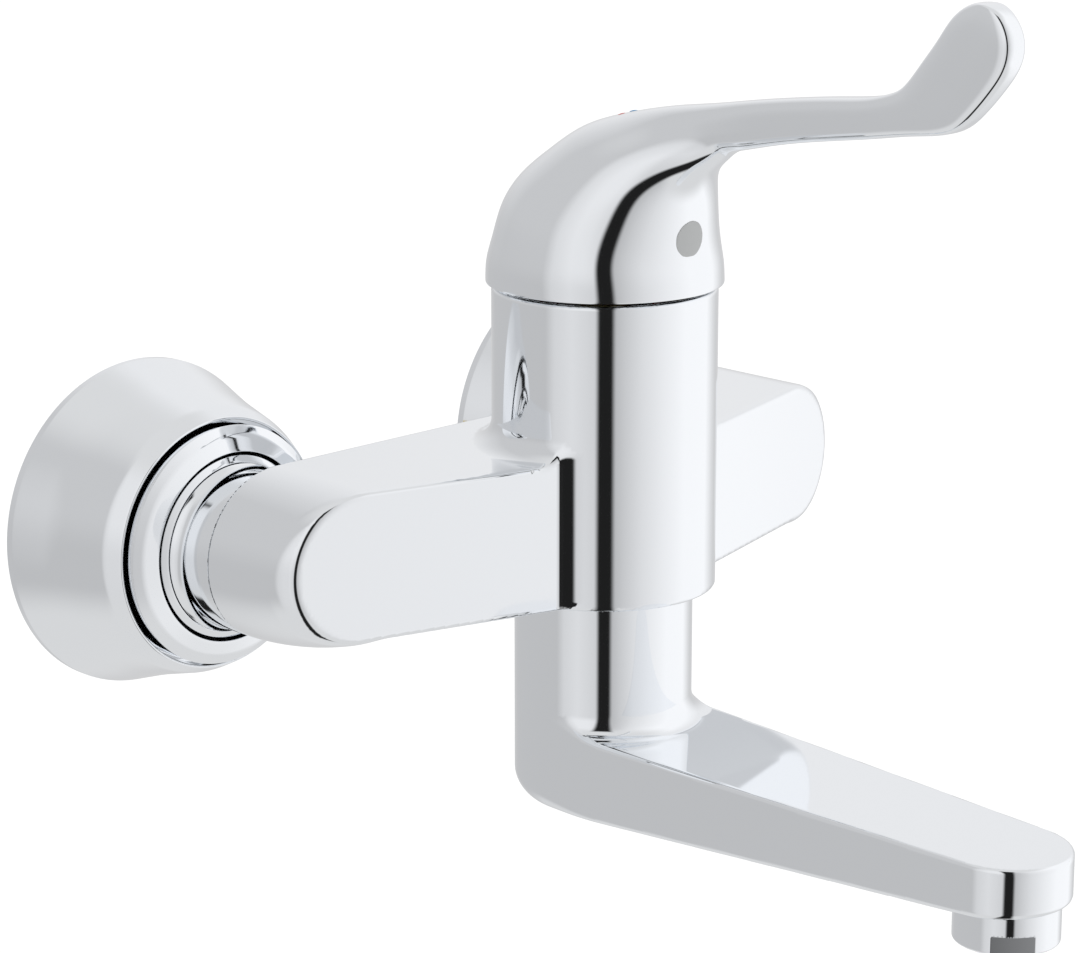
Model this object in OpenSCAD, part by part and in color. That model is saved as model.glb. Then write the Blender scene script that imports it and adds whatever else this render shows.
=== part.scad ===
// Wall-mounted single-lever mixer tap with a long elbow lever and a swivel spout.
// Sizes are in millimetres. X runs to the right as the user faces the tap, -Y points
// out of the wall and Z is up. The origin lies on the finished wall, midway between
// the hot inlet (left) and the cold inlet (right).

/* [Wall connection] */
// Distance between the hot and cold inlet centres
inlet_gap = 150; // [146:1:156]
// Length of the inlet thread that goes into the wall
wall_thread_l = 14; // [10:1:18]
// Outside diameter of the inlet thread
wall_thread_d = 20.96; // [20.5:0.02:21.5]
// Bore through each wall union
union_bore_d = 15; // [13:0.5:16]

/* [Rosettes] */
// Diameter of the rosette where it meets the wall
rosette_d = 84; // [78:1:90]
// Diameter of the rosette's front shoulder
rosette_face_d = 61; // [58:1:64]
// Distance from the wall to the rosette's front lip
rosette_depth = 36; // [35:0.5:37]
// Diameter of the smooth union nut
nut_d = 39; // [37:0.5:39.5]

/* [Body] */
// Distance from the wall to the column axis
column_out = 88; // [86:1:96]
// Diameter of the column
column_d = 55; // [53:0.5:58]
// Height of the column's top edge above the inlets
column_top = 61.5; // [60:0.5:66]
// Depth of the column's lower face below the inlets
column_drop = 13.5; // [12.5:0.5:15]
// Height of the arms' front faces
arm_h = 36.2; // [34:0.2:38]
// Height of the arms' middle above the inlets
arm_rise = 4.4; // [3:0.2:5]
// Distance from the column axis to the ridge where the arms' front faces would meet
arm_front = 18.4; // [17:0.2:19]
// Angle by which each arm sweeps back to the wall
arm_sweep = 15.8; // [13:0.2:17]

/* [Spout] */
// Distance from the column axis to the outlet
spout_reach = 127; // [110:1:150]
// Diameter of the spout's neck
neck_d = 44; // [42:0.5:46]
// Diameter of the spout's rounded end
tip_d = 30; // [29:0.5:32]
// Height of the spout's arm at the neck
spout_h = 22.5; // [20:0.5:25]
// Height of the spout's arm at its end
tip_h = 13; // [12:0.5:15]

/* [Lever] */
// Largest diameter of the handle's dome
dome_d = 57.8; // [57:0.2:60]
// Distance from the column axis to the paddle's centre
lever_reach = 112; // [105:1:130]
// Thickness of the lever from side to side
lever_w = 9; // [8:0.5:11]
// Height of the lever's bar
lever_h = 9.6; // [8.6:0.2:10.6]
// Diameter of the rounded paddle
paddle_d = 20.6; // [18:0.2:23]

/* [Hidden] */
$fn = 96;
hx = inlet_gap / 2;
r_col = column_d / 2;
bore_r = r_col - 4.4;
joint_y = 51;
horn_l = column_out + arm_front - hx * tan(arm_sweep) - joint_y;
horn_r = arm_h / 2 + 2.1;
horn_z = arm_rise - 2.8;
web_r = 44;
web_a = 51.6;
nip_z = -column_drop - 24.5;
oring_z = [-column_drop - 5.5, -column_drop - 12];
floor_z = 10;
piv_z = floor_z + 32;
cart_r = bore_r - 0.15;
rotor_r = cart_r - 2.65;
disc_r = rotor_r - 6.8;
ball_z = piv_z - 13.5;
rim_z = column_top + 0.6;
plug_z = column_top + 14.5;
arc_r = dome_d / 2 + 9.7;
arc_z = column_top + 3;
egg_k = 0.8;
mark_x = 6.4;
bar_slope = 8.7;
bar_z0 = arc_z + arc_r - lever_h / 2 - 1.2;
pad_z = bar_z0 + (lever_reach - 18) * tan(bar_slope) + 17;
r_neck = neck_d / 2;
neck_top = -column_drop - 0.4;
spout_top = -column_drop - 33;
spout_bot = spout_top - spout_h;
tip_top = spout_top - 3.2;
tip_bot = tip_top - tip_h;
aer_bot = tip_bot - 9.2;
collar_top = tip_bot - 12.4 * (tip_bot - spout_bot) / spout_reach - 0.15;
chan_z = tip_top - tip_h / 2 - 0.3;

// A round bar along Y from distance a to distance b out of the wall.
module out_cyl(r, a, b) {
    translate([0, -a, 0]) rotate([90, 0, 0]) cylinder(r = r, h = b - a);
}

// A profile of [radius, distance out of the wall] points turned about Y.
module out_turn(pts) {
    rotate([90, 0, 0]) rotate_extrude() polygon(pts);
}

// Two circles and the straight band that touches both.
module link2d(a, ra, b, rb) {
    d = b - a;
    t = atan2(d[1], d[0]);
    k = 90 - asin((ra - rb) / norm(d));
    n1 = [cos(t + k), sin(t + k)];
    n2 = [cos(t - k), sin(t - k)];
    translate(a) circle(r = ra);
    translate(b) circle(r = rb);
    polygon([a + ra * n1, b + rb * n1, b + rb * n2, a + ra * n2]);
}

// Places a piece on the column axis.
module at_column() {
    translate([0, -column_out, 0]) children();
}

// Turns a drawing of [forward, up] points into a plate across X.
module side_plate(w) {
    translate([w / 2, 0, 0]) rotate([90, 0, -90]) linear_extrude(height = w) children();
}

// The arms' plan: straight at the back and swept at the front.
module arm_plan(back) {
    f = column_out + arm_front;
    e = hx + 25;
    polygon([[-e, -back], [e, -back], [e, -f + e * tan(arm_sweep)], [0, -f],
        [-e, -f + e * tan(arm_sweep)]]);
}

// One horn, from the nut joint to the swept front face. s is the side.
module horn(s) {
    k = (horn_r - arm_h / 2) / horn_l;
    translate([s * hx, -joint_y, horn_z])
        rotate([90 - atan((arm_rise - horn_z) / horn_l), 0, atan(-s * 0.6 / horn_l)])
            translate([0, 0, -8])
                cylinder(r1 = horn_r + 8 * k, r2 = arm_h / 2 - 20 * k, h = horn_l + 28);
}

// The straight bar that joins the two horns behind the front faces.
module arm_bar() {
    y0 = -joint_y;
    y1 = -joint_y - horn_l;
    y2 = -column_out - arm_front - 5;
    h = arm_h / 2 - 0.1;
    translate([-hx + 0.6, 0, 0]) rotate([90, 0, 90]) linear_extrude(height = inlet_gap - 1.2)
        polygon([[y0, horn_z + horn_r - 0.1], [y1, arm_rise + h], [y2, arm_rise + h],
            [y2, arm_rise - h], [y1, arm_rise - h], [y0, horn_z - horn_r + 0.1]]);
}

// The hollow web between the column and one arm's front face, seen from above. s is the side.
module web_plan(s) {
    d = [s * sin(web_a), -cos(web_a)];
    difference() {
        polygon([[0, 0], 31 * d, 32 * [s * sin(web_a + 22), -cos(web_a + 22)],
            31 * [s * sin(web_a + 40), -cos(web_a + 40)]]);
        translate((r_col + web_r) * d) circle(r = web_r);
    }
}

module body() {
    color([0.86, 0.87, 0.88]) difference() {
        union() {
            at_column() translate([0, 0, -column_drop])
                cylinder(r = r_col, h = column_top + column_drop);
            // arms, cut level with the column's lower face where the spout turns
            difference() {
                intersection() {
                    translate([0, 0, -60]) linear_extrude(height = 120) arm_plan(joint_y);
                    union() {
                        horn(1);
                        horn(-1);
                        arm_bar();
                    }
                }
                at_column() translate([0, 0, -60]) cylinder(r = r_col, h = 60 - column_drop);
            }
            for (s = [-1, 1]) at_column() translate([0, 0, -column_drop])
                linear_extrude(height = column_drop + arm_rise + arm_h / 2 - 3) web_plan(s);
            // concave fillet where the column stands on the arms
            intersection() {
                translate([0, 0, -60]) linear_extrude(height = 120) arm_plan(joint_y);
                at_column() translate([0, 0, arm_rise + arm_h / 2 - 2]) rotate_extrude()
                    difference() {
                        square([r_col + 7, 9]);
                        translate([r_col + 7, 9]) circle(r = 7);
                    }
            }
            // inlet nipples that the nuts hold
            for (s = [-1, 1]) translate([s * hx, 0, 0]) {
                out_cyl(11, 38, joint_y + 4);
                out_cyl(13, 38, 41);
            }
            // outlet nipple that carries the spout
            at_column() translate([0, 0, nip_z]) cylinder(r = 14, h = 30);
        }
        // cartridge bore
        at_column() translate([0, 0, floor_z]) cylinder(r = bore_r, h = column_top);
        // inlet bores, cross ducts and risers
        for (s = [-1, 1]) {
            translate([s * hx, 0, 0]) out_cyl(9, 37, 62);
            translate([s * hx, 0, 0]) out_cyl(6, 60, 78);
            translate([0, -74, 1.5]) rotate([0, s * 90, 0]) translate([0, 0, 9])
                cylinder(r = 5.5, h = hx - 8);
            translate([s * 12, -column_out + 10.5, 1]) cylinder(r = 4.2, h = 20);
        }
        // mixed-water outlet
        at_column() translate([0, 0, nip_z - 1]) cylinder(r = 9.5, h = 29.5);
        at_column() translate([0, -9, -10.5]) cylinder(r = 4.8, h = 30);
        // grooves on the outlet nipple
        for (z = oring_z) at_column() translate([0, 0, z - 1.1]) rotate_extrude()
            translate([12.1, 0]) square([4, 2.2]);
        at_column() translate([0, 0, nip_z + 2]) rotate_extrude()
            translate([12.1, 0]) square([4, 5.6]);
    }
}

module wall_union(s) {
    color([0.78, 0.66, 0.36]) translate([s * hx, 0, 0]) difference() {
        union() {
            out_cyl(wall_thread_d / 2, -wall_thread_l, 2);
            translate([0, -1.5, 0]) rotate([90, 0, 0]) cylinder(r = 16.5, h = 10, $fn = 6);
            out_cyl(12.2, 11, 16);
            out_cyl(13.2, 16, 36);
        }
        out_cyl(union_bore_d / 2, -wall_thread_l - 1, 37);
    }
}

module rosette(s) {
    rb = rosette_d / 2;
    rf = rosette_face_d / 2;
    d = rosette_depth;
    color([0.86, 0.87, 0.88]) translate([s * hx, 0, 0]) out_turn([
        [rb - 2.5, 0], [rb, 0], [rb, 1.8], [rb - 2.1, 7], [rb - 4.2, 12.5], [rb - 6.2, 18.5],
        [rb - 8.2, 24.5], [rf + 0.8, d - 6], [rf - 0.5, d - 3.4], [rf - 2, d - 1.8],
        [rf - 4.5, d - 0.6], [26, d], [23.6, d - 0.2], [22.8, d - 1.2], [22.8, d - 14],
        [24, d - 14], [24.5, d - 5], [rf - 3, d - 6], [rf - 2, d - 8], [rb - 11, 23],
        [rb - 7.8, 17], [rb - 5.3, 11], [rb - 3.4, 5]]);
}

module rosette_sleeve(s) {
    color([0.86, 0.87, 0.88]) translate([s * hx, 0, 0])
        out_turn([[13.25, 22], [22.5, 22], [22.5, 25.5], [21.4, 25.5], [21.4, 28.5],
            [22.5, 28.5], [22.5, rosette_depth - 0.4], [20.2, rosette_depth - 0.4],
            [20.2, 26], [13.25, 26]]);
}

module rosette_seals() {
    color([0.12, 0.12, 0.12]) for (s = [-1, 1]) translate([s * hx, 0, 0])
        out_turn([[21.45, 25.9], [22.78, 25.9], [22.78, 28.1], [21.45, 28.1]]);
}

module union_nut(s) {
    color([0.86, 0.87, 0.88]) translate([s * hx, 0, 0]) difference() {
        out_turn([[0, 29], [nut_d / 2 - 2.6, 29], [nut_d / 2 - 2.6, 36], [nut_d / 2, 41.5],
            [nut_d / 2, joint_y - 0.3], [0, joint_y - 0.3]]);
        out_cyl(13.25, 28, 41.2);
        out_cyl(11.25, 40, joint_y + 1);
    }
}

module inlet_gaskets() {
    color([0.2, 0.2, 0.2]) for (s = [-1, 1]) translate([s * hx, 0, 0]) difference() {
        out_cyl(12.8, 36, 37.4);
        out_cyl(9.2, 35, 38);
    }
}

// A dished sieve with a rim clamped behind the gasket.
module strainer(s) {
    color([0.72, 0.72, 0.7]) translate([s * hx, 0, 0]) difference() {
        union() {
            out_cyl(12.8, 37.4, 38);
            out_cyl(8.6, 37.6, 42);
        }
        out_cyl(8, 36, 41.4);
        for (a = [0:60:300]) rotate([0, a, 0]) translate([5, 0, 0]) out_cyl(1.2, 41, 43);
        for (a = [0:90:270]) rotate([0, a, 0]) translate([2, 0, 0]) out_cyl(0.8, 41, 43);
    }
}

module check_valve(s) {
    color([0.92, 0.92, 0.9]) translate([s * hx, 0, 0]) difference() {
        out_cyl(8.9, 44, 61.5);
        out_cyl(4.6, 43, 48);
        out_cyl(7, 48, 59);
        out_cyl(1.55, 58, 63);
        for (a = [0:60:300]) rotate([0, a, 0]) translate([4.4, 0, 0]) out_cyl(1.4, 58, 63);
    }
}

module check_poppet(s) {
    color([0.2, 0.22, 0.26]) translate([s * hx, 0, 0]) {
        out_cyl(5.9, 48.05, 50);
        out_cyl(1.5, 49, 60.5);
    }
}

// A coil between the poppet's disc and the end of its case.
module check_spring(s) {
    n = 24;
    turns = 4;
    w = 0.4;
    r = 3.2;
    a0 = 50.1 + w;
    l = 58.9 - w - a0;
    m = n * turns;
    pts = [for (i = [0:m]) for (j = [0:7])
        let (t = 360 * i / n, q = r + w * cos(45 * j))
            [q * cos(t), -(a0 + l * i / m + w * sin(45 * j)), q * sin(t)]];
    ring = [for (j = [0:7]) j];
    far = [for (j = [7:-1:0]) m * 8 + j];
    sides = [for (i = [0:m - 1]) for (j = [0:7])
        [i * 8 + j, i * 8 + (j + 1) % 8, i * 8 + 8 + (j + 1) % 8, i * 8 + 8 + j]];
    color([0.75, 0.76, 0.78]) translate([s * hx, 0, 0])
        polyhedron(points = pts, faces = concat([far], [ring], [for (f = sides)
            [f[3], f[2], f[1], f[0]]]));
}

module cartridge_base() {
    color([0.25, 0.27, 0.3]) at_column() difference() {
        translate([0, 0, floor_z + 0.9]) cylinder(r = cart_r, h = 6);
        for (s = [-1, 1]) translate([s * 12, 10.5, floor_z]) cylinder(r = 4, h = 10);
        translate([0, -9, floor_z]) cylinder(r = 4.6, h = 10);
    }
}

module port_seals() {
    color([0.12, 0.12, 0.12]) at_column()
        for (p = [[-12, 10.5], [12, 10.5], [0, -9]]) translate([p[0], p[1], floor_z])
            rotate_extrude() translate([5, 0]) square([1.3, 0.9]);
}

module cartridge_housing() {
    color([0.9, 0.9, 0.88]) at_column() difference() {
        translate([0, 0, floor_z + 6.9]) cylinder(r = cart_r, h = 33.1);
        translate([0, 0, floor_z + 6]) cylinder(r = rotor_r + 0.1, h = 31.4);
        translate([0, 0, floor_z + 30]) cylinder(r = 15, h = 20);
    }
}

module fixed_disc() {
    color([0.95, 0.95, 0.93]) at_column() difference() {
        translate([0, 0, floor_z + 6.9]) cylinder(r = rotor_r, h = 4);
        for (s = [-1, 1]) translate([s * 7, 8, floor_z]) cylinder(r = 3.4, h = 20);
        translate([0, -8, floor_z]) cylinder(r = 4.2, h = 20);
    }
}

module moving_disc() {
    color([0.9, 0.9, 0.86]) at_column() difference() {
        translate([0, 0, floor_z + 10.96]) cylinder(r = disc_r, h = 3.6);
        translate([0, -2, floor_z + 10]) cylinder(r = 5.5, h = 2.6);
    }
}

module disc_carrier() {
    color([0.3, 0.32, 0.36]) at_column() difference() {
        translate([0, 0, floor_z + 14.56]) cylinder(r = disc_r, h = 6.8);
        translate([-3.5, -3.75, floor_z + 14.9]) cube([7, 7.5, 10]);
    }
}

module rotor() {
    color([0.82, 0.84, 0.86]) at_column() difference() {
        union() {
            translate([0, 0, floor_z + 22]) cylinder(r = rotor_r, h = 15);
            translate([0, 0, floor_z + 30]) cylinder(r = 14.7, h = 12.4);
        }
        translate([-4.9, -11, floor_z + 20]) cube([9.8, 22, 30]);
        translate([-15, 0, piv_z]) rotate([0, 90, 0]) cylinder(r = 2.01, h = 30);
    }
}

module pivot_pin() {
    color([0.7, 0.71, 0.73]) at_column() translate([-13, 0, piv_z]) rotate([0, 90, 0])
        cylinder(r = 2, h = 26);
}

module stem() {
    color([0.8, 0.7, 0.42]) at_column() difference() {
        union() {
            translate([-4.5, -4, piv_z]) cube([9, 8, plug_z + 5 - piv_z]);
            translate([-4.5, 0, piv_z]) rotate([0, 90, 0]) cylinder(r = 5.2, h = 9);
            translate([0, 0, ball_z]) cylinder(r = 2.2, h = 12);
            translate([0, 0, ball_z]) sphere(r = 3.3);
        }
        translate([-6, 0, piv_z]) rotate([0, 90, 0]) cylinder(r = 2.05, h = 12);
    }
}

module limit_ring() {
    color([0.75, 0.15, 0.12]) at_column() difference() {
        translate([0, 0, floor_z + 40]) cylinder(r = bore_r - 4.2, h = 2.6);
        translate([0, 0, floor_z + 39]) cylinder(r = 15.3, h = 6);
    }
}

module retaining_nut() {
    color([0.78, 0.66, 0.36]) at_column() difference() {
        translate([0, 0, floor_z + 40]) cylinder(r = bore_r - 0.05, h = 7);
        translate([0, 0, floor_z + 39]) cylinder(r = bore_r - 4, h = 10);
        for (a = [0:60:300]) rotate([0, 0, a]) translate([bore_r - 2, -2, floor_z + 45])
            cube([5, 4, 4]);
    }
}

// The lever's outline seen from the side, as [forward, up].
module lever_side() {
    knee = [lever_reach - 18, bar_z0 + (lever_reach - 18) * tan(bar_slope)];
    f = dome_d / 2;
    link2d([8, bar_z0 + 8 * tan(bar_slope)], lever_h / 2, knee, lever_h / 2);
    link2d(knee, lever_h / 2, [lever_reach, pad_z], paddle_d / 2);
    polygon([[8, bar_z0], [f - 4, bar_z0 - 12], [f - 0.8, bar_z0 - 9], [f + 1.2, bar_z0 - 5],
        [f + 5.5, bar_z0 - 2], [f + 13.5, bar_z0 + 0.2], [f + 22, bar_z0 + 3]]);
}

// The lever's outline seen from above: broad on the dome, then an even blade.
module lever_plan() {
    h = lever_w / 2;
    f = dome_d / 2;
    polygon([[-h - 1, -3], [-h - 4, -f + 14], [-h - 4, -f], [-h - 1.4, -f - 12],
        [-h, -f - 26], [-h + 0.6, -lever_reach - 30], [h - 0.6, -lever_reach - 30],
        [h, -f - 26], [h + 1.4, -f - 12], [h + 4, -f], [h + 4, -f + 14], [h + 1, -3]]);
}

// The dome: an upright round, closed by an egg that leans towards the lever.
module dome_shape() {
    intersection() {
        rotate_extrude() polygon([[0, rim_z], [r_col, rim_z], [dome_d / 2, rim_z + 3.2],
            [dome_d / 2, rim_z + 5], [dome_d / 2 - 1.2, rim_z + 26],
            [dome_d / 2 - 1.2, rim_z + 60], [0, rim_z + 60]]);
        translate([0, dome_d / 2 - arc_r, arc_z]) scale([egg_k, 1, 1]) sphere(r = arc_r);
    }
}

module handle() {
    color([0.86, 0.87, 0.88]) at_column() difference() {
        union() {
            difference() {
                dome_shape();
                rotate_extrude() polygon([[0, rim_z - 1], [r_col - 0.3, rim_z - 1],
                    [r_col - 0.3, rim_z + 0.4], [r_col - 3.6, rim_z + 6],
                    [r_col - 8, rim_z + 14], [r_col - 12, rim_z + 23], [0, rim_z + 23]]);
            }
            intersection() {
                side_plate(dome_d) lever_side();
                translate([0, 0, rim_z]) linear_extrude(height = 120) lever_plan();
            }
            translate([0, 0, plug_z - 8]) cylinder(r = 9, h = 20);
        }
        // socket for the stem, set-screw hole and plug seat
        translate([-4.6, -4.1, plug_z - 10]) cube([9.2, 8.2, 15.2]);
        translate([0, 0, plug_z]) rotate([90, 0, 0]) cylinder(r = 2.55, h = 40);
        translate([0, -16, plug_z]) rotate([90, 0, 0]) cylinder(r = 4.5, h = 30);
        // seats for the two marks
        for (s = [-1, 1]) mark_place(s) translate([0, 0, -0.8]) cylinder(r = 1.5, h = 6);
    }
}

// Puts a mark on the dome's crown, square to its surface.
module mark_place(s) {
    dy = arc_r - dome_d / 2 - 1;
    h = sqrt(arc_r * arc_r - pow(mark_x / egg_k, 2) - dy * dy);
    translate([s * mark_x, -1, arc_z + h])
        rotate([-asin(dy / arc_r), s * atan(mark_x / (egg_k * egg_k * h)), 0]) children();
}

module set_screw() {
    color([0.5, 0.51, 0.53]) at_column() translate([0, -4.1, plug_z]) rotate([90, 0, 0])
        difference() {
            cylinder(r = 2.5, h = 6);
            translate([0, 0, 3]) cylinder(r = 1.45, h = 5, $fn = 6);
        }
}

module screw_plug() {
    color([0.62, 0.63, 0.63]) at_column() translate([0, -dome_d / 2 + 3.9, plug_z])
        rotate([90, 0, 0]) cylinder(r = 4.45, h = 3.2);
}

module mark(s) {
    mark_place(s) translate([0, 0, -0.8]) cylinder(r = 1.45, h = 0.85);
}

module hot_mark() {
    color([0.8, 0.1, 0.1]) at_column() mark(-1);
}

module cold_mark() {
    color([0.1, 0.35, 0.7]) at_column() mark(1);
}

module spout() {
    color([0.86, 0.87, 0.88]) at_column() difference() {
        union() {
            translate([0, 0, spout_top - 8]) cylinder(r = r_neck, h = neck_top - spout_top + 8);
            intersection() {
                translate([0, 0, spout_bot - 5]) linear_extrude(height = 60)
                    link2d([0, 0], r_neck, [0, -spout_reach - 0.5], tip_d / 2);
                side_plate(60) polygon([[-30, spout_top], [0, spout_top],
                    [spout_reach, tip_top], [spout_reach + 30, tip_top - 0.8],
                    [spout_reach + 30, tip_bot + 1.4], [spout_reach, tip_bot],
                    [0, spout_bot], [-30, spout_bot]]);
            }
        }
        // bearing bore, chamber and water way
        translate([0, 0, nip_z - 2]) cylinder(r = 14.06, h = 60);
        translate([0, 0, spout_bot + 4]) cylinder(r = 12.5, h = 40);
        translate([0, 0, chan_z]) rotate([90, 0, 0]) cylinder(r = 4.2, h = spout_reach);
        // recess for the glide ring, lock-screw hole and outlet thread
        translate([0, 0, neck_top - 1.6]) cylinder(r = 19, h = 5);
        translate([0, 10, nip_z + 4.8]) rotate([-90, 0, 0]) cylinder(r = 2.55, h = 20);
        translate([0, -spout_reach, tip_bot - 1]) cylinder(r = 12.1, h = 8.4);
    }
}

module spout_orings() {
    color([0.12, 0.12, 0.12]) at_column()
        for (z = oring_z) translate([0, 0, z]) rotate_extrude()
            translate([13.07, 0]) circle(r = 0.95, $fn = 32);
}

module glide_ring() {
    color([0.92, 0.92, 0.9]) at_column() translate([0, 0, neck_top - 1.6]) difference() {
        cylinder(r = 18.8, h = 1.7);
        translate([0, 0, -1]) cylinder(r = 14.4, h = 4);
    }
}

module spout_lock_screw() {
    color([0.5, 0.51, 0.53]) at_column() translate([0, 12.6, nip_z + 4.8]) rotate([-90, 0, 0])
        difference() {
            union() {
                cylinder(r = 1.6, h = 2);
                translate([0, 0, 1.8]) cylinder(r = 2.5, h = r_neck - 15.4);
            }
            translate([0, 0, r_neck - 15.4]) cylinder(r = 1.45, h = 5, $fn = 6);
        }
}

module aerator_sleeve() {
    color([0.86, 0.87, 0.88]) translate([0, -column_out - spout_reach, 0]) difference() {
        union() {
            translate([0, 0, aer_bot]) cylinder(r = 12.4, h = collar_top - aer_bot);
            translate([0, 0, aer_bot + 4]) cylinder(r = 12, h = tip_bot + 6 - aer_bot - 4);
        }
        translate([0, 0, aer_bot + 1]) cylinder(r = 10.2, h = 30);
        translate([0, 0, aer_bot - 1]) cylinder(r = 9.4, h = 4);
        for (a = [45, 225]) rotate([0, 0, a]) translate([11.4, -15, aer_bot - 1])
            cube([10, 30, 5.4]);
    }
}

module aerator_insert() {
    color([0.88, 0.88, 0.86]) translate([0, -column_out - spout_reach, 0]) difference() {
        translate([0, 0, aer_bot + 1.05]) cylinder(r = 10.1, h = tip_bot + 5.6 - aer_bot);
        translate([0, 0, aer_bot + 3]) cylinder(r = 8.6, h = 40);
        for (a = [0:45:315]) rotate([0, 0, a]) translate([6, 0, aer_bot]) cylinder(r = 1.3, h = 5);
        for (a = [0:90:270]) rotate([0, 0, a]) translate([2.6, 0, aer_bot])
            cylinder(r = 1.1, h = 5);
    }
}

module aerator_seal() {
    color([0.12, 0.12, 0.12]) translate([0, -column_out - spout_reach, tip_bot + 6])
        difference() {
            cylinder(r = 11.9, h = 1.3);
            translate([0, 0, -1]) cylinder(r = 10.3, h = 4);
        }
}

body();
wall_union(-1);  // wall_union_hot
wall_union(1);  // wall_union_cold
rosette(-1);  // rosette_hot
rosette(1);  // rosette_cold
rosette_sleeve(-1);  // rosette_sleeve_hot
rosette_sleeve(1);  // rosette_sleeve_cold
rosette_seals();
union_nut(-1);  // union_nut_hot
union_nut(1);  // union_nut_cold
inlet_gaskets();
strainer(-1);  // strainer_hot
strainer(1);  // strainer_cold
check_valve(-1);  // check_valve_hot
check_valve(1);  // check_valve_cold
check_poppet(-1);  // check_poppet_hot
check_poppet(1);  // check_poppet_cold
check_spring(-1);  // check_spring_hot
check_spring(1);  // check_spring_cold
cartridge_housing();
cartridge_base();
port_seals();
fixed_disc();
moving_disc();
disc_carrier();
rotor();
pivot_pin();
stem();
limit_ring();
retaining_nut();
handle();
set_screw();
screw_plug();
hot_mark();
cold_mark();
spout();
spout_orings();
glide_ring();
spout_lock_screw();
aerator_sleeve();
aerator_insert();
aerator_seal();
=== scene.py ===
import bpy
import math
import numpy as np
from mathutils import Matrix


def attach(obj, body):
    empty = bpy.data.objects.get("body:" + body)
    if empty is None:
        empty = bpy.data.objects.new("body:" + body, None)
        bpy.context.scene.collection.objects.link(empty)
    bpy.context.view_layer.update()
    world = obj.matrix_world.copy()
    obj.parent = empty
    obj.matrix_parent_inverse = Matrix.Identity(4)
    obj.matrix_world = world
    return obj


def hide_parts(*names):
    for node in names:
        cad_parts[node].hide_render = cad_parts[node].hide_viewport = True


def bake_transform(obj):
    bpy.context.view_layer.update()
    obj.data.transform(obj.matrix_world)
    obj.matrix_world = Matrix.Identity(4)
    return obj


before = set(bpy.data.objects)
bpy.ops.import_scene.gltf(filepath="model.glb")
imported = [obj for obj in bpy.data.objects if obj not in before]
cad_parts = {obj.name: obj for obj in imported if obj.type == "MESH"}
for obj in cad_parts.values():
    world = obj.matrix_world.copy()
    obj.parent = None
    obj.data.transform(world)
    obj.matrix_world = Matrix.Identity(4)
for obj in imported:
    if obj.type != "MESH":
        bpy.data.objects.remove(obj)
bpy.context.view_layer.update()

# Camera.
# The photograph's camera, fitted to the two rosettes 150 mm apart, for a 1080 x 953 frame.
# It stands to the left of the tap and a little above it.
sensor_mm, frame_px, focal_px = 36.0, 1080.0, 3545.93
stand = (-0.60764, -0.66953, 0.23199)
turn, tilt = math.radians(-45.19), math.radians(14.59)
right = (math.cos(turn), math.sin(turn), 0.0)
ahead = (-math.sin(turn) * math.cos(tilt), math.cos(turn) * math.cos(tilt), -math.sin(tilt))
upward = (-math.sin(turn) * math.sin(tilt), math.cos(turn) * math.sin(tilt), math.cos(tilt))
cam_data = bpy.data.cameras.new("camera")
cam_data.sensor_fit = "HORIZONTAL"
cam_data.sensor_width = sensor_mm
cam_data.lens = sensor_mm * focal_px / frame_px
cam_data.clip_start = 0.05
camera = bpy.data.objects.new("camera", cam_data)
bpy.context.scene.collection.objects.link(camera)
camera.matrix_world = Matrix(
    [(right[k], upward[k], -ahead[k], stand[k]) for k in range(3)] + [(0.0, 0.0, 0.0, 1.0)])
bpy.context.scene.camera = camera

# Studio.
# The sweep is white where the camera sees it. Reflections see a plain studio: a grey wall to the
# left, a pale panel beside the camera, white panels to the right, and a black gap between the two
# halves in the camera's own upright plane, in front, above and below.
scene = bpy.context.scene
scene.view_settings.view_transform = "Standard"
world = bpy.data.worlds.new("studio")
scene.world = world
world.use_nodes = True
wt = world.node_tree
wt.nodes.clear()


def world_math(kind, *values):
    """One arithmetic node on one or two values, each another node's output or a number."""
    node = wt.nodes.new("ShaderNodeMath")
    node.operation = kind
    for value, socket in zip(values, node.inputs):
        if isinstance(value, float):
            socket.default_value = value
        else:
            wt.links.new(value, socket)
    return node.outputs["Value"]


def world_range(value, low, high, first=0.0, second=1.0, way="SMOOTHSTEP"):
    """Goes from the first number to the second as the value goes from low to high."""
    step = wt.nodes.new("ShaderNodeMapRange")
    step.interpolation_type = way
    limits = {"From Min": low, "From Max": high, "To Min": first, "To Max": second}
    for name, number in limits.items():
        step.inputs[name].default_value = number
    wt.links.new(value, step.inputs["Value"])
    return step.outputs["Result"]


def world_mix(amount, first, second):
    """Goes from the first colour or grey to the second as the amount goes from 0 to 1."""
    mix = wt.nodes.new("ShaderNodeMix")
    mix.data_type = "RGBA"
    wt.links.new(amount, mix.inputs["Factor"])
    for value, end in ((first, "A"), (second, "B")):
        if isinstance(value, float):
            mix.inputs[end].default_value = (value, value, value, 1.0)
        else:
            wt.links.new(value, mix.inputs[end])
    return mix.outputs["Result"]


def world_ring(stops):
    """Brightness round the horizon, from [degrees right of the camera, brightness] stops."""
    ramp = wt.nodes.new("ShaderNodeValToRGB")
    band = ramp.color_ramp
    while len(band.elements) < len(stops):
        band.elements.new(0.5)
    for stop, (degrees, bright) in zip(band.elements, stops):
        stop.position = (degrees + 180) / 360
        stop.color = (bright, bright, bright * 1.008, 1.0)
    wt.links.new(round_unit, ramp.inputs["Fac"])
    return ramp.outputs["Color"]


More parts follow.
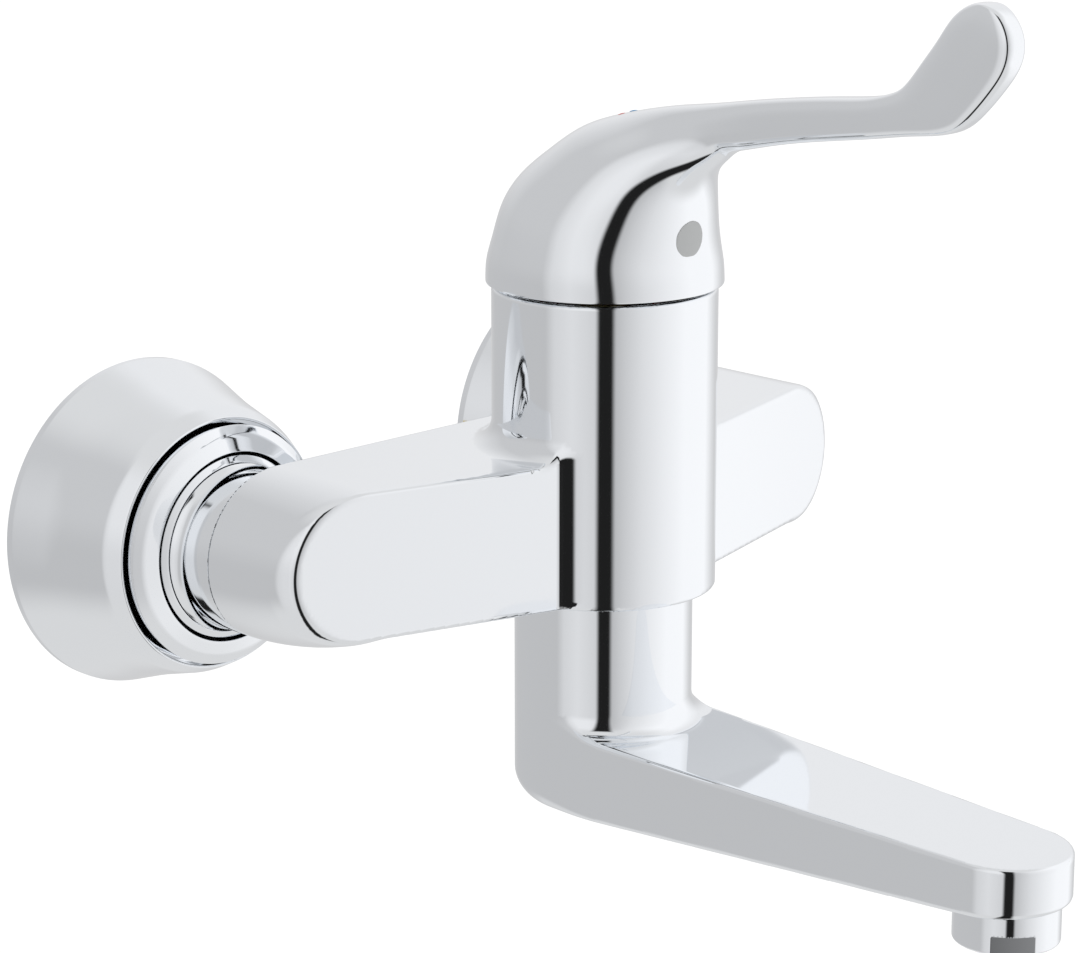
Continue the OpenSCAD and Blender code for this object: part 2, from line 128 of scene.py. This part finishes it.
w_dir = wt.nodes.new("ShaderNodeTexCoord")
w_turn = wt.nodes.new("ShaderNodeVectorRotate")
w_turn.rotation_type = "Z_AXIS"
w_turn.inputs["Angle"].default_value = -turn
w_axes = wt.nodes.new("ShaderNodeSeparateXYZ")
wt.links.new(w_dir.outputs["Generated"], w_turn.inputs["Vector"])
wt.links.new(w_turn.outputs["Vector"], w_axes.inputs["Vector"])
rightward, rise = w_axes.outputs["X"], w_axes.outputs["Z"]
back = world_math("MULTIPLY", w_axes.outputs["Y"], -1.0)
round_unit = world_range(
    world_math("ARCTAN2", rightward, back), -math.pi, math.pi, way="LINEAR")
level = world_ring([
    (-180, 0.66), (-150, 0.55), (-63, 0.54), (-53, 0.69), (-34, 0.76), (-20, 0.71),
    (-8, 0.66), (8, 0.5), (20, 0.62), (38, 0.76), (62, 0.89), (88, 1.0),
    (125, 1.01), (142, 0.75), (152, 0.64), (180, 0.66)])
above = world_ring([
    (-180, 0.86), (-150, 0.7), (-125, 0.6), (-63, 0.6), (-52, 0.76), (-34, 0.86),
    (-20, 0.86), (-8, 0.8), (8, 0.5), (20, 0.62), (38, 0.78), (62, 0.9),
    (88, 1.0), (125, 1.0), (150, 0.86), (180, 0.86)])
ceiling, ground, gap = 0.74, 0.72, 0.014
room = world_mix(world_range(rise, -0.2, 0.3), level, above)
room = world_mix(world_range(rise, 0.72, 0.95), room, ceiling)
room = world_mix(world_range(rise, -0.8, -0.5), ground, room)
beside = world_range(world_math("ABSOLUTE", rightward), 0.09, 0.19)
overhead = world_range(rise, 0.86, 0.92)
behind = world_range(back, -0.1, 0.1, 1.0, 0.0)
lit = world_math("MAXIMUM", world_math("MAXIMUM", beside, overhead), behind)
room = world_mix(lit, gap, room)
w_path = wt.nodes.new("ShaderNodeLightPath")
w_white = wt.nodes.new("ShaderNodeBackground")
w_white.inputs["Color"].default_value = (1.0, 1.0, 1.0, 1.0)
w_room = wt.nodes.new("ShaderNodeBackground")
w_mix = wt.nodes.new("ShaderNodeMixShader")
w_out = wt.nodes.new("ShaderNodeOutputWorld")
wt.links.new(room, w_room.inputs["Color"])
wt.links.new(w_path.outputs["Is Camera Ray"], w_mix.inputs["Fac"])
wt.links.new(w_room.outputs["Background"], w_mix.inputs[1])
wt.links.new(w_white.outputs["Background"], w_mix.inputs[2])
wt.links.new(w_mix.outputs["Shader"], w_out.inputs["Surface"])

# Body.
# One brass casting, ground and plated: a column, two swept arms with rounded horns, and the
# nipples that the nuts and the spout hide. The plating is almost a mirror, with a faint cloud of
# polishing haze in its roughness. The two nuts hold the body on the wall unions.
chrome = bpy.data.materials.new("chrome")
chrome.use_nodes = True
ct = chrome.node_tree
c_bsdf = ct.nodes["Principled BSDF"]
c_bsdf.inputs["Base Color"].default_value = (0.917, 0.936, 0.96, 1.0)
c_bsdf.inputs["Metallic"].default_value = 1.0
c_pos = ct.nodes.new("ShaderNodeTexCoord")
c_noise = ct.nodes.new("ShaderNodeTexNoise")
c_noise.inputs["Scale"].default_value = 60.0
c_noise.inputs["Detail"].default_value = 3.0
c_rough = ct.nodes.new("ShaderNodeMapRange")
c_rough.inputs["To Min"].default_value = 0.03
c_rough.inputs["To Max"].default_value = 0.07
ct.links.new(c_pos.outputs["Object"], c_noise.inputs["Vector"])
ct.links.new(c_noise.outputs["Fac"], c_rough.inputs["Value"])
ct.links.new(c_rough.outputs["Result"], c_bsdf.inputs["Roughness"])


def join(a, b, r):
    """Union of two distance fields whose inner corner is a circular fillet of radius r."""
    return np.maximum(r, np.minimum(a, b)) - np.hypot(np.maximum(r - a, 0), np.maximum(r - b, 0))


def cut(a, b, r):
    """Intersection of two distance fields whose outer corner is a circular round of radius r."""
    return np.minimum(-r, np.maximum(a, b)) + np.hypot(np.maximum(r + a, 0), np.maximum(r + b, 0))


def surface(name, points, faces):
    """A smooth-shaded object at the origin, from points in millimetres and a list of faces."""
    mesh = bpy.data.meshes.new(name)
    mesh.from_pydata((points.reshape(-1, 3) / 1000).tolist(), [], faces)
    mesh.polygons.foreach_set("use_smooth", np.ones(len(faces), dtype=bool))
    mesh.update()
    obj = bpy.data.objects.new(name, mesh)
    bpy.context.scene.collection.objects.link(obj)
    return obj


def skin(name, field, low, high, step):
    """A mesh of the surface where field(x, y, z) is zero, in millimetres.

    The field is read on a grid. Each cell that the surface crosses gets one vertex, which slides
    along the field's gradient until the field is zero there. Each grid edge that the surface
    crosses gets the face between its four cells. The gradients are the normals.
    """
    axes = [np.arange(a, b + step, step) for a, b in zip(low, high)]
    inside = field(*np.meshgrid(*axes, indexing="ij")) < 0
    nx, ny, nz = (k - 1 for k in inside.shape)
    count = sum(inside[i:nx + i, j:ny + j, k:nz + k].astype(np.int8)
                for i in (0, 1) for j in (0, 1) for k in (0, 1))
    mixed = (count > 0) & (count < 8)
    number = np.full(mixed.shape, -1)
    number[mixed] = np.arange(mixed.sum())
    cell = np.argwhere(mixed)
    p = np.stack([axes[i][cell[:, i]] + step / 2 for i in range(3)], axis=1)
    nudge, rounds = 0.02, 10

    def slope(q):
        """Gradient at points q, from the field a nudge to both sides along each axis."""
        g = np.empty_like(q)
        for i in range(3):
            d = np.zeros(3)
            d[i] = nudge
            g[:, i] = (field(*(q + d).T) - field(*(q - d).T)) / (2 * nudge)
        return g

    for _ in range(rounds):
        g = slope(p)
        move = field(*p.T)[:, None] * g / np.maximum((g * g).sum(1), 0.05)[:, None]
        far = np.linalg.norm(move, axis=1, keepdims=True)
        p -= move * np.minimum(1, 0.5 * step / np.maximum(far, 1e-9))
    normal = slope(p)
    normal /= np.maximum(np.linalg.norm(normal, axis=1, keepdims=True), 1e-9)
    faces = []
    for ax in range(3):
        o1, o2 = [i for i in range(3) if i != ax]
        a = np.moveaxis(inside, (ax, o1, o2), (0, 1, 2))
        c = np.moveaxis(number, (ax, o1, o2), (0, 1, 2))
        first, second = a[:-1, 1:-1, 1:-1], a[1:, 1:-1, 1:-1]
        quad = np.stack([c[:, :-1, :-1], c[:, 1:, :-1], c[:, 1:, 1:], c[:, :-1, 1:]], axis=-1)
        flip = ax == 1
        for mask, turned_over in ((first & ~second, flip), (~first & second, not flip)):
            q = quad[mask]
            faces.append(q[:, ::-1] if turned_over else q)
    obj = surface(name, p, np.concatenate(faces).tolist())
    obj.data.normals_split_custom_set_from_vertices(normal.tolist())
    return obj


axis_out, inlet_x = 88, 75.0


def body_field(x, y, z):
    """Distance to the body: a round column, and a bar with swept front planes and hollow webs.

    The bar is a level slab with half-round ends, whose underside drops towards the nuts. A cone
    bevels each horn between its round end and the front plane. Beside the column a plane turned
    by 43 degrees makes the web, with an upright round hollow next to the column, and a fillet
    runs round the column on top of the bar. Then the nipples are added and the bores taken out.
    """
    column_r, edge, nut_end = 27.5, 1.2, 51
    ax = np.abs(x)
    u = -y - axis_out
    rad = np.hypot(x, u)
    column = cut(cut(rad - column_r, z - 61.2, 1.0), -13.5 - z, 0.9)

    forward = np.clip((-y - nut_end) / 34.2, 0, 1)
    aside = np.clip((ax - 28) / 14, 0, 1)
    low = -13.6 - 5.8 * (1 - forward * forward) * aside * aside * (3 - 2 * aside)
    half = (22.9 - 0.3 * forward - low) / 2
    end_x, end_reach = 74.6, 21.6
    past_end, off_middle = np.maximum(ax - end_x, 0), z - low - half
    arm = np.hypot(past_end / end_reach, off_middle / half) * half - half
    front_out, sweep, sweep_cos = 106.4, 0.2822, 0.9624
    face = -y - front_out + sweep * ax
    rim = np.hypot(past_end, off_middle) - half
    arm = cut(arm, 0.92 * rim + 0.39 * face, 1.0)

    web_x, web_u, web_off = 0.6782, 0.7349, 26.2
    past = web_u * ax - web_x * u
    web = np.maximum(web_x * ax + web_u * u - web_off, -past)
    hollow_r, hollow_x, hollow_u = 22, 40.97, 27.78
    hollow = np.maximum(hollow_r - np.hypot(ax - hollow_x, u - hollow_u), past - 11.27)
    hollow = np.maximum(np.maximum(hollow, 0.8277 * u - 0.5612 * ax), rad - 29)
    front = np.minimum(np.minimum(face * sweep_cos, web), hollow)
    arm = cut(cut(arm, y + nut_end, 1.0), front, edge)

    foot = cut(join(z - 22.6, rad - column_r, 6.0), front, edge)
    foot = np.maximum(np.maximum(foot, rad - 34.5), np.abs(z - 23.5) - 11.5)
    f = np.minimum(np.minimum(column, arm), foot)

    pipe = np.hypot(ax - inlet_x, z)
    nipple = np.maximum(np.minimum(pipe - 11, np.maximum(pipe - 13, -y - 41)), y + 38)
    nipple = np.maximum(nipple, -y - 60)
    outlet = np.maximum(np.maximum(rad - 14, -38 - z), z)
    f = np.minimum(f, np.minimum(nipple, outlet))
    f = np.maximum(f, -np.maximum(rad - 23.1, 10 - z))
    f = np.maximum(f, -np.maximum(pipe - 9, -y - 66))
    return np.maximum(f, -np.maximum(rad - 9.5, z + 9.5))


body = skin("body_skin", body_field, (-98.3, -119.3, -40.3), (98.3, -36.3, 63.3), 0.9)
body.data.materials.append(chrome)
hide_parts("body")
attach(body, "tap")


# Rosettes, sleeves and union nuts.
# Turned from brass and plated. The bell hides the wall union and sits on a thin sleeve, with a
# groove behind its rolled lip and a gap in its mouth. The nut widens a little towards the sleeve
# and pulls the body on to the union.
def turned(name, profile, x, parts=240):
    """Turns a profile of [radius, distance] points about the line along Y through x.

    A vertex at angle a lies at (x + radius * cos a, -distance, radius * sin a).
    """
    a = np.linspace(0, 2 * math.pi, parts, endpoint=False)
    m = len(profile)
    co = np.empty((parts, m, 3))
    co[..., 0] = x + profile[None, :, 0] * np.cos(a)[:, None]
    co[..., 1] = -profile[None, :, 1]
    co[..., 2] = profile[None, :, 0] * np.sin(a)[:, None]
    i, j = np.meshgrid(np.arange(parts), np.arange(m), indexing="ij")
    i2, j2 = (i + 1) % parts, (j + 1) % m
    faces = np.stack([i * m + j, i2 * m + j, i2 * m + j2, i * m + j2], axis=-1).reshape(-1, 4)
    obj = surface(name, co, faces.tolist())
    obj.data.set_sharp_from_angle(angle=math.radians(35))
    return obj


def rounded(corners, steps=8, run=0.7):
    """Replaces each corner [radius, distance, round] by a circular arc that touches both sides.

    Straight pieces longer than the run are then cut into short ones, so that the shading stays
    even.
    """
    out = []
    n = len(corners)
    for k, (r, d, rr) in enumerate(corners):
        p = np.array([[r, d]], float)
        if rr > 0:
            a = np.array(corners[k - 1][:2]) - p[0]
            b = np.array(corners[(k + 1) % n][:2]) - p[0]
            a, b = a / np.linalg.norm(a), b / np.linalg.norm(b)
            half = math.acos(np.clip(a @ b, -1, 1)) / 2
            centre = p + (a + b) / np.linalg.norm(a + b) * rr / math.sin(half)
            from_a = p + a * rr / math.tan(half) - centre
            from_b = p + b * rr / math.tan(half) - centre
            w = math.pi - 2 * half
            s = np.linspace(0, 1, steps)[:, None]
            p = centre + (np.sin((1 - s) * w) * from_a + np.sin(s * w) * from_b) / math.sin(w)
        out.append(p)
    out = np.concatenate(out)
    way = np.roll(out, -1, axis=0) - out
    cuts = (np.linalg.norm(way, axis=1) // run).astype(int) + 1
    part = (np.arange(cuts.sum()) - np.repeat(np.cumsum(cuts) - cuts, cuts)) / np.repeat(cuts, cuts)
    return np.repeat(out, cuts, axis=0) + np.repeat(way, cuts, axis=0) * part[:, None]


bell = rounded([
    (39.0, 0, 0), (40.7, 0, 0.3), (40.7, 2.0, 1.0), (36.5, 14.5, 120), (33.1, 27.6, 9),
    (30.55, 32.7, 0.4), (30.35, 31.5, 0), (30.2, 28, 0), (29.6, 28, 0), (29.5, 33.9, 0.15),
    (27.2, 35.4, 5), (23.35, 36.6, 0.15), (23.2, 28, 0), (22.7, 27.5, 0), (22.7, 22, 0),
    (24, 22, 0), (24.5, 28, 1), (27, 26, 3), (34, 14, 20)], 16)
sleeve = rounded([(20.75, 24, 0), (22.45, 24, 0), (22.45, 36.1, 0.15), (20.75, 37.1, 0.15)])
nut = rounded([
    (13.3, 29, 0), (17.6, 29, 0.6), (20.6, 33.5, 0.6), (20.6, 37.2, 0.15), (19.4, 38.8, 5.6),
    (19.4, 50.8, 0.3), (11.3, 50.8, 0), (11.3, 41.3, 0), (13.3, 41.3, 0)], 12)
for side, x in (("hot", -inlet_x), ("cold", inlet_x)):
    for kind, profile in (("rosette_", bell), ("rosette_sleeve_", sleeve), ("union_nut_", nut)):
        piece = turned(kind + side + "_skin", profile, x)
        piece.data.materials.append(chrome)
        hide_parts(kind + side)
        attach(piece, "tap")


# Handle.
# Dome, lever and paddle in one hollow casting, plated, held on the stem by a screw under the
# plug. Its sections swing round from the level rim of the dome to the upright blade of the
# lever, and turn once more into the paddle.
def curve(at, points, to):
    """Natural cubic curve through the points: second slopes from one set of linear equations."""
    h = np.diff(at)[:, None]
    n = len(at)
    eq = np.eye(n)
    rhs = np.zeros_like(points)
    for k in range(1, n - 1):
        eq[k, k - 1:k + 2] = h[k - 1, 0], 2 * (h[k - 1, 0] + h[k, 0]), h[k, 0]
    rhs[1:-1] = 6 * (np.diff(points[1:], axis=0) / h[1:] - np.diff(points[:-1], axis=0) / h[:-1])
    m = np.linalg.solve(eq, rhs)
    i = np.clip(np.searchsorted(at, to, side="right") - 1, 0, n - 2)
    d, e = (to - at[i])[:, None], (at[i + 1] - to)[:, None]
    hi = h[i]
    return ((m[i] * e ** 3 + m[i + 1] * d ** 3) / (6 * hi)
            + (points[i] / hi - m[i] * hi / 6) * e + (points[i + 1] / hi - m[i + 1] * hi / 6) * d)


def swung(name, sections, parts):
    """A surface through sections [back u, back z, front u, front z, half width, squareness].

    Each section is a rounded oval: |x / width|^n + |w / depth|^n = 1, where w runs from the
    section's back to its front point, u is the distance in front of the column's axis and n is
    the squareness.
    """
    s = np.asarray(sections, float)
    q = np.linspace(0, 2 * math.pi, parts, endpoint=False)
    power = 2 / s[:, 5:6]
    across = s[:, 4:5] * np.sign(np.cos(q)) * np.abs(np.cos(q)) ** power
    along = np.sign(np.sin(q)) * np.abs(np.sin(q)) ** power / 2
    co = np.empty(across.shape + (3,))
    co[..., 0] = across
    co[..., 1] = -axis_out - ((s[:, 0:1] + s[:, 2:3]) / 2 + (s[:, 2:3] - s[:, 0:1]) * along)
    co[..., 2] = (s[:, 1:2] + s[:, 3:4]) / 2 + (s[:, 3:4] - s[:, 1:2]) * along
    m = len(s)
    i, j = np.meshgrid(np.arange(m - 1), np.arange(parts), indexing="ij")
    j2 = (j + 1) % parts
    faces = np.stack([i * parts + j, i * parts + j2, (i + 1) * parts + j2, (i + 1) * parts + j],
                     axis=-1).reshape(-1, 4)
    ends = [list(range(parts))[::-1], list(range((m - 1) * parts, m * parts))]
    obj = surface(name, co, faces.tolist() + ends)
    obj.data.set_sharp_from_angle(angle=math.radians(35))
    return obj


stations = np.array([
    (-28.9, 63.0, 28.9, 63.0, 28.9, 2.0), (-28.5, 67.4, 28.6, 66.2, 28.85, 2.0),
    (-26.6, 73.4, 27.8, 70.2, 28.0, 2.02), (-24.3, 81.5, 27.7, 74.7, 26.5, 2.0),
    (-19.0, 89.0, 28.1, 79.6, 24.1, 2.0), (-11.4, 95.0, 28.8, 84.0, 21.1, 2.0),
    (-3.8, 100.0, 30.2, 87.9, 17.5, 2.0), (4.5, 103.0, 32.8, 91.6, 13.7, 2.0),
    (13.4, 105.2, 36.7, 94.9, 9.9, 2.1), (23.2, 107.1, 40.6, 97.7, 7.0, 2.5),
    (33.4, 108.6, 45.2, 99.1, 5.8, 2.9), (45.6, 110.6, 52.1, 100.7, 4.9, 3.4),
    (59.7, 112.7, 62.5, 102.8, 4.6, 3.6), (73.8, 114.4, 75.8, 104.9, 4.6, 3.6),
    (82.9, 115.5, 86.0, 106.5, 4.6, 3.6), (88.8, 117.0, 96.0, 108.1, 4.4, 3.8),
    (92.7, 119.2, 105.2, 109.7, 4.3, 4.0), (97.4, 124.8, 112.1, 114.3, 4.2, 4.0),
    (101.7, 130.3, 117.8, 120.6, 4.2, 4.0), (105.4, 135.2, 121.7, 127.5, 4.1, 4.0),
    (107.7, 137.2, 121.7, 131.9, 3.9, 3.6), (110.2, 138.5, 119.6, 135.9, 3.5, 3.0),
    (112.5, 138.9, 116.9, 138.0, 3.0, 2.6), (114.3, 138.8, 114.9, 138.7, 2.2, 2.2)])
walk = np.linalg.norm(np.diff(stations[:, :2], axis=0), axis=1)
walk = walk + np.linalg.norm(np.diff(stations[:, 2:4], axis=0), axis=1)
at = np.concatenate([[0.0], np.cumsum(walk)])
outside = curve(at, stations, np.linspace(0, at[-1], 260))
hollow = [(-r, z, r, z, r, 2.0) for r, z in (
    (0.5, 85.1), (15.2, 85.1), (15.5, 84.8), (19.5, 76.1), (23.9, 68.1), (27.0, 62.4),
    (27.2, 62.1), (28.6, 62.1), (28.8, 62.15), (28.88, 62.3), (28.9, 62.6))]
handle = swung("handle_skin", np.concatenate([np.array(hollow), outside]), 160)
handle.data.materials.append(chrome)
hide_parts("handle")
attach(handle, "lever_group")


# Spout.
# Neck and arm in one plated casting that turns on the body's lower nipple. The round neck runs
# with a small fillet into a flat arm, which narrows in plan and in height to its round end.
def spout_field(x, y, z):
    """Distance to the spout: a hollow round neck joined to a tapered flat arm with rolled edges.

    The arm's plan lies round a line, with a radius that shrinks along it. Its top and underside
    slope towards each other, and the lower edge is rolled more at the heel.
    """
    neck_r, taper, reach, edge = 22, 6.5, 125.8, 1.2
    u = -y - axis_out
    rad = np.hypot(x, u)
    t = np.clip(u / reach, 0, 1)
    plan = np.hypot(x, u - reach * t) - (neck_r - taper * t)
    k = u / 128.0
    top = z + 46.3 + 3.4 * k
    under = -68.0 + 5.6 * k - z
    heel = np.clip((18 - u) / 34, 0, 1)
    arm = cut(cut(plan, top, edge), under, 1.6 + 6.0 * heel * heel * (3 - 2 * heel))
    inside_arm = -60 - z
    neck = np.maximum(np.maximum(rad - neck_r, z + 13.9), inside_arm)
    foot = cut(join(top, rad - neck_r, 5.5), plan, edge)
    foot = np.maximum(foot, np.maximum(rad - 28.5, inside_arm))
    f = np.minimum(np.minimum(arm, neck), foot)
    f = np.maximum(f, -np.maximum(rad - 14.06, -40 - z))
    return np.maximum(f, -np.maximum(rad - 19, -15.5 - z))


spout = skin("spout_skin", spout_field, (-24.3, -233.3, -71.3), (24.3, -64.3, -12.3), 0.8)
spout.data.materials.append(chrome)
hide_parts("spout")
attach(spout, "spout_group")


# Aerator collar.
# A turned brass collar under the spout's end, plated, with two flats for a spanner. The plastic
# insert inside it is the CAD piece.
def collar_field(x, y, z):
    """Distance to the collar: a bored cylinder with rolled edges and two flats at its foot."""
    collar_out, collar_r, bore_r, flat_off = 126.8, 12.35, 10.2, 11.2
    u = -y - axis_out - collar_out
    rad = np.hypot(x, u)
    shell = cut(cut(rad - collar_r, -71.4 - z, 0.5), z + 58.5, 0.3)
    flats = np.abs(0.7048 * u - 0.7094 * x) - flat_off
    shell = np.maximum(shell, np.minimum(flats, -66.9 - z))
    return np.maximum(shell, bore_r - rad)


collar = skin(
    "aerator_sleeve_skin", collar_field, (-13.3, -228.3, -72.6), (13.3, -201.3, -57.3), 0.4)
collar.data.materials.append(chrome)
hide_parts("aerator_sleeve")
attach(collar, "spout_group")


# Plug and marks.
# Moulded plastic: a grey plug over the set screw, pressed flush into the dome's front, and a red
# and a blue pill let into its crown, one on each side of the ridge.
def moulded(name, colour, metal, rough, grain):
    """A plain material whose colour and roughness drift a little with the place on the piece."""
    mat = bpy.data.materials.new(name)
    mat.use_nodes = True
    tree = mat.node_tree
    bsdf = tree.nodes["Principled BSDF"]
    bsdf.inputs["Metallic"].default_value = metal
    place = tree.nodes.new("ShaderNodeTexCoord")
    noise = tree.nodes.new("ShaderNodeTexNoise")
    noise.inputs["Scale"].default_value = grain
    noise.inputs["Detail"].default_value = 4.0
    ramp = tree.nodes.new("ShaderNodeValToRGB")
    for e, k in zip(ramp.color_ramp.elements, (0.94, 1.06)):
        e.color = tuple(min(c * k, 1.0) for c in colour) + (1.0,)
    drift = tree.nodes.new("ShaderNodeMapRange")
    drift.inputs["To Min"].default_value = rough * 0.85
    drift.inputs["To Max"].default_value = rough * 1.15
    tree.links.new(place.outputs["Object"], noise.inputs["Vector"])
    tree.links.new(noise.outputs["Fac"], ramp.inputs["Fac"])
    tree.links.new(ramp.outputs["Color"], bsdf.inputs["Base Color"])
    tree.links.new(noise.outputs["Fac"], drift.inputs["Value"])
    tree.links.new(drift.outputs["Result"], bsdf.inputs["Roughness"])
    return mat


def plug_field(x, y, z):
    """Distance to the plug: a short round bar whose face is a parabola that follows the dome."""
    plug_r, plug_z, plug_front, plug_back = 4.55, 75.8, 27.95, 22.6
    u = -y - axis_out
    face = u + x * x / 56 - plug_front - 0.075 * (z - plug_z)
    return np.maximum(cut(np.hypot(x, z - plug_z) - plug_r, face, 0.25), plug_back - u)


mark_x, mark_y = 2.1, -95.4


def pill_field(side):
    """Distance to a mark: a flat ellipsoid of 1.25 mm radius let into the dome's crown.

    It lies across the crown's normal. The mark on the right is set a little higher.
    """
    pill_r, pill_half = 1.25, 0.4

    def field(x, y, z):
        px, py, pz = x - mark_x * side, y - mark_y, z - 103.5 - 0.13 * side
        out = 0.1 * side * px + 0.24 * py + 0.966 * pz
        flat = np.sqrt(np.maximum(px * px + py * py + pz * pz - out * out, 1e-9))
        return (np.hypot(flat / pill_r, out / pill_half) - 1) * pill_half
    return field


plug = skin("screw_plug_skin", plug_field, (-5.6, -117.2, 70.1), (5.6, -109.1, 81.5), 0.35)
plug.data.materials.append(moulded("grey_plastic", (0.47, 0.48, 0.48), 0.0, 0.45, 90.0))
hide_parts("screw_plug")
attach(plug, "lever_group")
red = moulded("red_plastic", (0.7, 0.06, 0.05), 0.0, 0.35, 120.0)
blue = moulded("blue_plastic", (0.02, 0.3, 0.62), 0.0, 0.35, 120.0)
for name, side, paint, finish in (
        ("hot_mark", -1, red, "red_plastic"), ("cold_mark", 1, blue, "blue_plastic")):
    pill = skin(name + "_skin", pill_field(side), (mark_x * side - 1.9, mark_y - 1.9, 102.1),
                (mark_x * side + 1.9, mark_y + 1.9, 105.1), 0.2)
    pill.data.materials.append(paint)
    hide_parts(name)
    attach(pill, "lever_group")


# Check springs.
# Wound from stainless wire, one behind each check valve's poppet. In the tap one end stays in the
# case and the other goes with the poppet, so the coil closes up as the valve opens; here each coil
# is one still mesh.
def coil(name, x, turns=4, radius=3.2, wire=0.4, first=50.5, last=58.5, sides=12):
    """A round wire wound about the line along Y through x.

    At turn angle a and wire angle q a vertex lies at radius + wire * cos q from the line, and the
    wire's centre moves evenly from the first to the last distance out of the wall.
    """
    a = np.linspace(0, 2 * math.pi * turns, 36 * turns + 1)[:, None]
    q = np.linspace(0, 2 * math.pi, sides, endpoint=False)[None, :]
    r = radius + wire * np.cos(q)
    out = first + (last - first) * a / a[-1] + wire * np.sin(q)
    co = np.stack([x + r * np.cos(a), -out, r * np.sin(a)], axis=-1)
    m = len(a)
    i, j = np.meshgrid(np.arange(m - 1), np.arange(sides), indexing="ij")
    j2 = (j + 1) % sides
    faces = np.stack([i * sides + j, (i + 1) * sides + j, (i + 1) * sides + j2, i * sides + j2],
                     axis=-1).reshape(-1, 4)
    ends = [list(range(sides)), list(range((m - 1) * sides, m * sides))[::-1]]
    obj = surface(name, co, faces.tolist() + ends)
    obj.data.set_sharp_from_angle(angle=math.radians(50))
    return obj


steel = moulded("steel", (0.62, 0.63, 0.65), 1.0, 0.28, 80.0)
for side, x in (("hot", -inlet_x), ("cold", inlet_x)):
    spring = coil("check_spring_" + side + "_skin", x)
    spring.data.materials.append(steel)
    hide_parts("check_spring_" + side)
    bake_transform(spring)

# Inner parts.
# The CAD pieces inside the tap, each in its own stuff: brass unions, stem and clamping nut, steel
# sieves, pins and screws, rubber seals, plastic carriers and two ceramic discs.
inner = (
    (moulded("brass", (0.78, 0.66, 0.36), 1.0, 0.3, 40.0),
     "wall_union_hot wall_union_cold stem retaining_nut"),
    (steel, "strainer_hot strainer_cold pivot_pin set_screw spout_lock_screw"),
    (moulded("rubber", (0.05, 0.05, 0.05), 0.0, 0.7, 150.0),
     "rosette_seals inlet_gaskets port_seals spout_orings aerator_seal"),
    (moulded("white_plastic", (0.88, 0.88, 0.86), 0.0, 0.4, 60.0),
     "check_valve_hot check_valve_cold cartridge_housing rotor glide_ring aerator_insert"),
    (moulded("dark_plastic", (0.16, 0.17, 0.2), 0.0, 0.45, 60.0),
     "check_poppet_hot check_poppet_cold cartridge_base disc_carrier"),
    (moulded("disc_ceramic", (0.9, 0.9, 0.86), 0.0, 0.2, 200.0), "fixed_disc moving_disc"),
    (red, "limit_ring"))
for paint, names in inner:
    for name in names.split():
        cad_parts[name].data.materials.clear()
        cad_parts[name].data.materials.append(paint)

# Floor.
# A pale sweep far below the tap, which hangs on a wall. It is stage and no part of the tap, and
# the chrome doesn't mirror it.
reach, drop = 40, -0.4
floor_mesh = bpy.data.meshes.new("floor")
floor_mesh.from_pydata([(-reach, -reach, drop), (reach, -reach, drop), (reach, reach, drop),
                        (-reach, reach, drop)], [], [(0, 1, 2, 3)])
floor = bpy.data.objects.new("floor", floor_mesh)
scene.collection.objects.link(floor)
pale = bpy.data.materials.new("pale_floor")
pale.use_nodes = True
p_bsdf = pale.node_tree.nodes["Principled BSDF"]
p_bsdf.inputs["Base Color"].default_value = (0.5, 0.5, 0.5, 1.0)
p_bsdf.inputs["Roughness"].default_value = 0.9
p_bsdf.inputs["Specular IOR Level"].default_value = 0.0
p_bsdf.inputs["Emission Color"].default_value = (1.0, 1.0, 1.0, 1.0)
p_bsdf.inputs["Emission Strength"].default_value = 0.7
floor.data.materials.append(pale)
floor.visible_glossy = False
